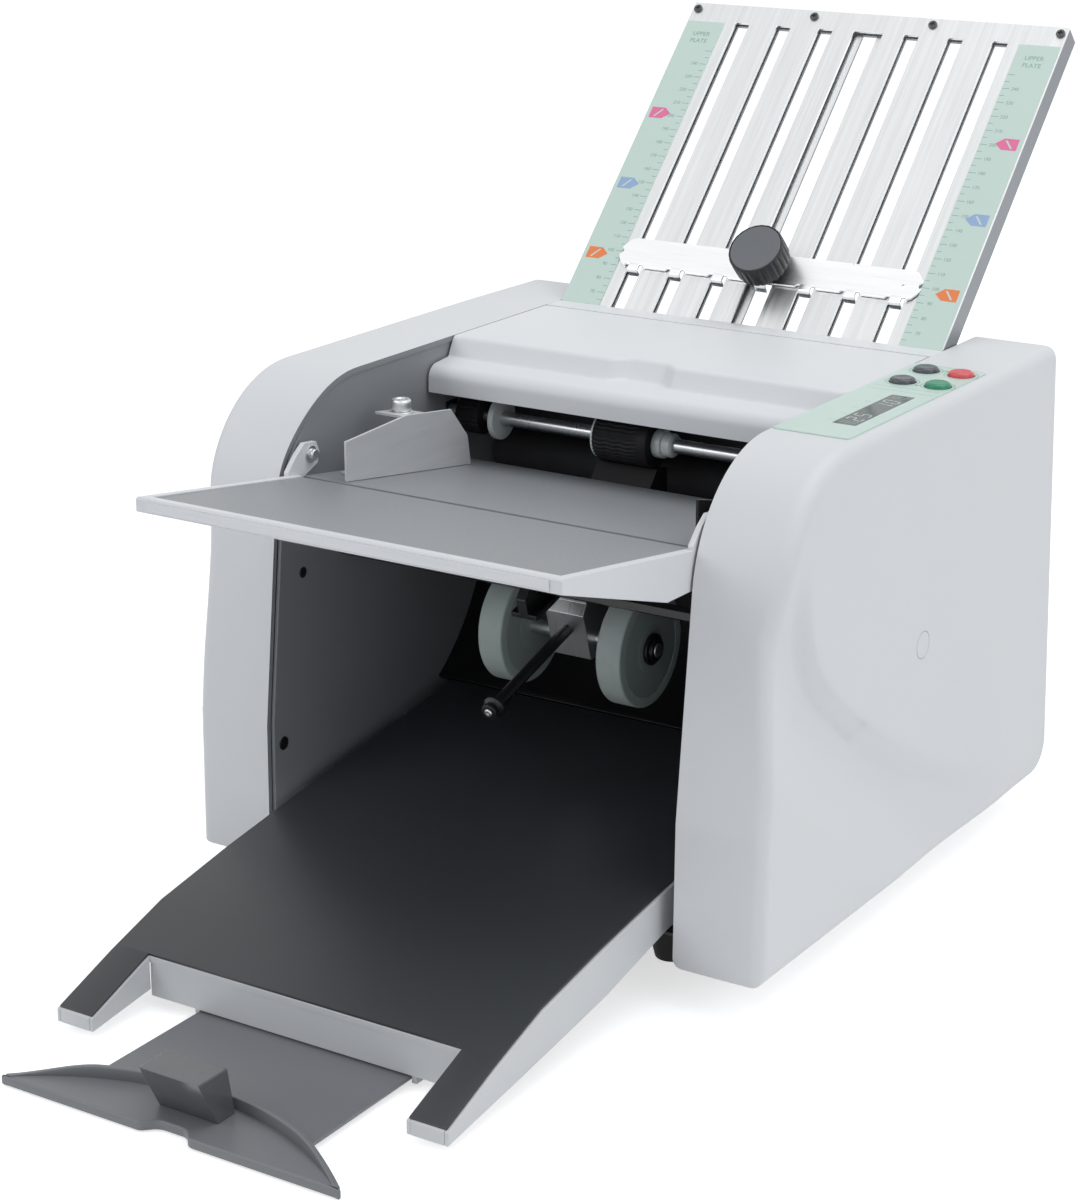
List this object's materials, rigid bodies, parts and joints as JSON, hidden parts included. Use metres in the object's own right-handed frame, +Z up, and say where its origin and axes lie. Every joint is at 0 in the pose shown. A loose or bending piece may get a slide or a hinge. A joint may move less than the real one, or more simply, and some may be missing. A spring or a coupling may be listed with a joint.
{
  "type": "paper folding machine",
  "caption": "Desktop paper folding machine with sloping feed table, slotted fold plates with sliding stops, delivery wheels and a pull-out tray.",
  "frame": {"origin": "on the desk, under the middle of the whole machine's length and width", "axes": "+X to the control side, +Y to the rear where the upper fold plate leans, +Z up"},
  "size_m": [0.3514, 0.7034, 0.4408],
  "materials": {
    "cover_white": "fine textured",
    "lid_white": "fine textured",
    "table_plastic": "fine textured",
    "tray_plastic": "fine textured",
    "inner_grey": "satin powder coat",
    "black_steel": "satin powder coat",
    "zinc_steel": "zinc plated",
    "stainless": "brushed",
    "rail_aluminium": "anodised",
    "black_rubber": "matt",
    "grey_rubber": "matt",
    "roller_rubber": "ground",
    "black_plastic": "moulded",
    "dark_plastic": "moulded",
    "grey_plastic": "moulded",
    "white_plastic": "moulded",
    "mint_film": "printed film",
    "display_glass": "clear gloss",
    "smoked_clear": "clear smoked",
    "button_green": "moulded",
    "button_red": "moulded",
    "button_dark": "moulded",
    "board_green": "solder mask"
  },
  "bodies": {
    "machine": {"right_cover": "cover_white", "left_cover": "cover_white", "right_side_frame": "inner_grey", "left_side_frame": "inner_grey", "base_pan": "black_steel", "rubber_feet": "black_rubber", "rear_panel": "inner_grey", "cross_ties": "zinc_steel", "top_bridge": "lid_white", "roller_bushes": "black_plastic", "drive_motor": "zinc_steel", "drive_belt": "black_rubber", "frame_studs": "zinc_steel", "rear_feed_table": "inner_grey", "separator_pad": "black_rubber", "upper_plate_sheet": "stainless", "upper_plate_frame": "rail_aluminium", "upper_plate_scales": "mint_film", "lower_plate_sheet": "stainless", "lower_plate_frame": "rail_aluminium", "delivery_tray": "tray_plastic", "tray_liner": "dark_plastic", "delivery_chute": "black_steel", "carriage_rail": "black_steel", "control_overlay": "mint_film", "display_window": "display_glass", "switch_board": "board_green", "power_inlet": "black_plastic"},
    "top_cover": {"top_cover": "lid_white"},
    "feed_table": {"feed_table": "table_plastic", "table_edge_strip": "stainless"},
    "left_guide": {"left_guide": "stainless"},
    "guide_screw": {"guide_screw": "zinc_steel"},
    "right_guide": {"right_guide": "black_plastic"},
    "fold_roller_a": {"fold_roller_a": "roller_rubber"},
    "fold_roller_b": {"fold_roller_b": "roller_rubber"},
    "fold_roller_c": {"fold_roller_c": "roller_rubber"},
    "fold_roller_d": {"fold_roller_d": "roller_rubber"},
    "feed_drive": {"feed_shaft": "zinc_steel", "feed_rollers": "black_rubber", "feed_collars": "white_plastic"},
    "idler_gear": {"idler_gear": "white_plastic"},
    "motor_pulley": {"motor_pulley": "zinc_steel"},
    "carriage": {"carriage_bracket": "zinc_steel", "pull_rod": "black_steel"},
    "wheels": {"wheel_shaft": "black_steel", "wheel_hubs": "grey_plastic", "delivery_tyres": "grey_rubber"},
    "upper_stop": {"upper_stop": "stainless"},
    "upper_knob": {"upper_knob": "dark_plastic"},
    "lower_stop": {"lower_stop": "stainless"},
    "lower_knob": {"lower_knob": "dark_plastic"},
    "start_button": {"start_button": "button_green"},
    "stop_button": {"stop_button": "button_red"},
    "minus_button": {"minus_button": "button_dark"},
    "plus_button": {"plus_button": "button_dark"},
    "power_rocker": {"power_rocker": "black_plastic"},
    "tray_extension": {"tray_extension": "grey_plastic", "stop_block": "smoked_clear"}
  },
  "joints": [
    {"name": "top_cover_hinge", "type": "hinge", "parent": "machine", "child": "top_cover", "pos_m": [0, 0.15131, 0.274], "axis": [-1, 0, 0], "range_deg": [0, 75]},
    {"name": "feed_table_hinge", "type": "hinge", "parent": "machine", "child": "feed_table", "pos_m": [0, -0.07069, 0.2425], "axis": [-1, 0, 0], "range_deg": [0, 85]},
    {"name": "left_guide_slide", "type": "slide", "parent": "machine", "child": "left_guide", "axis": [1, 0, 0], "range_m": [-0.008, 0.06]},
    {"name": "guide_screw_turn", "type": "hinge", "parent": "left_guide", "child": "guide_screw", "pos_m": [-0.103, -0.01269, 0.25], "axis": [0, 0, 1], "range_deg": [0, 270]},
    {"name": "right_guide_slide", "type": "slide", "parent": "machine", "child": "right_guide", "axis": [-1, 0, 0], "range_m": [0, 0.06]},
    {"name": "fold_roller_b_spin", "type": "hinge", "parent": "machine", "child": "fold_roller_b", "pos_m": [0, 0.12231, 0.204], "axis": [1, 0, 0], "continuous": true},
    {"name": "fold_roller_a_spin", "type": "hinge", "parent": "machine", "child": "fold_roller_a", "pos_m": [0, 0.11455, 0.23298], "axis": [1, 0, 0], "continuous": true},
    {"name": "fold_roller_c_spin", "type": "hinge", "parent": "machine", "child": "fold_roller_c", "pos_m": [0, 0.15224, 0.20609], "axis": [1, 0, 0], "continuous": true},
    {"name": "fold_roller_d_spin", "type": "hinge", "parent": "machine", "child": "fold_roller_d", "pos_m": [0, 0.12441, 0.17407], "axis": [1, 0, 0], "continuous": true},
    {"name": "idler_spin", "type": "hinge", "parent": "machine", "child": "idler_gear", "pos_m": [0.142, 0.09099, 0.22997], "axis": [1, 0, 0], "continuous": true},
    {"name": "feed_spin", "type": "hinge", "parent": "machine", "child": "feed_drive", "pos_m": [0, 0.06931, 0.236], "axis": [1, 0, 0], "continuous": true},
    {"name": "motor_spin", "type": "hinge", "parent": "machine", "child": "motor_pulley", "pos_m": [-0.136, 0.15631, 0.066], "axis": [1, 0, 0], "continuous": true},
    {"name": "carriage_slide", "type": "slide", "parent": "machine", "child": "carriage", "axis": [0, -0.9542, -0.299], "range_m": [-0.015, 0.04]},
    {"name": "wheel_spin", "type": "hinge", "parent": "carriage", "child": "wheels", "pos_m": [0, 0.00576, 0.14186], "axis": [1, 0, 0], "continuous": true},
    {"name": "upper_stop_slide", "type": "slide", "parent": "machine", "child": "upper_stop", "axis": [0, 0.6972, 0.7169], "range_m": [-0.015, 0.155]},
    {"name": "upper_knob_turn", "type": "hinge", "parent": "upper_stop", "child": "upper_knob", "pos_m": [0, 0.21128, 0.30673], "axis": [0, -0.7169, 0.6972], "range_deg": [0, 270]},
    {"name": "lower_stop_slide", "type": "slide", "parent": "machine", "child": "lower_stop", "axis": [0, 0.788, -0.6157], "range_m": [-0.015, 0.035]},
    {"name": "lower_knob_turn", "type": "hinge", "parent": "lower_stop", "child": "lower_knob", "pos_m": [0, 0.26251, 0.08865], "axis": [0, 0.6157, 0.788], "range_deg": [0, 270]},
    {"name": "start_button_press", "type": "slide", "parent": "machine", "child": "start_button", "axis": [0, 0, -1], "range_m": [0, 0.001], "stiffness_N_per_m": 400},
    {"name": "stop_button_press", "type": "slide", "parent": "machine", "child": "stop_button", "axis": [0, 0, -1], "range_m": [0, 0.001], "stiffness_N_per_m": 400},
    {"name": "minus_button_press", "type": "slide", "parent": "machine", "child": "minus_button", "axis": [0, 0, -1], "range_m": [0, 0.001], "stiffness_N_per_m": 400},
    {"name": "plus_button_press", "type": "slide", "parent": "machine", "child": "plus_button", "axis": [0, 0, -1], "range_m": [0, 0.001], "stiffness_N_per_m": 400},
    {"name": "power_rocker_tilt", "type": "hinge", "parent": "machine", "child": "power_rocker", "pos_m": [-0.026, 0.22731, 0.052], "axis": [1, 0, 0], "range_deg": [0, 14]},
    {"name": "tray_extension_slide", "type": "slide", "parent": "machine", "child": "tray_extension", "axis": [0, -1, 0], "range_m": [-0.02, 0.03]}
  ],
  "couplings": [
    {"joint": "fold_roller_a_spin", "follows": "fold_roller_b_spin", "ratio": -1},
    {"joint": "fold_roller_c_spin", "follows": "fold_roller_b_spin", "ratio": -1},
    {"joint": "fold_roller_d_spin", "follows": "fold_roller_b_spin", "ratio": -1},
    {"joint": "idler_spin", "follows": "fold_roller_b_spin", "ratio": 0.9},
    {"joint": "feed_spin", "follows": "fold_roller_b_spin", "ratio": -1.125},
    {"joint": "motor_spin", "follows": "fold_roller_b_spin", "ratio": 1.875}
  ]
}
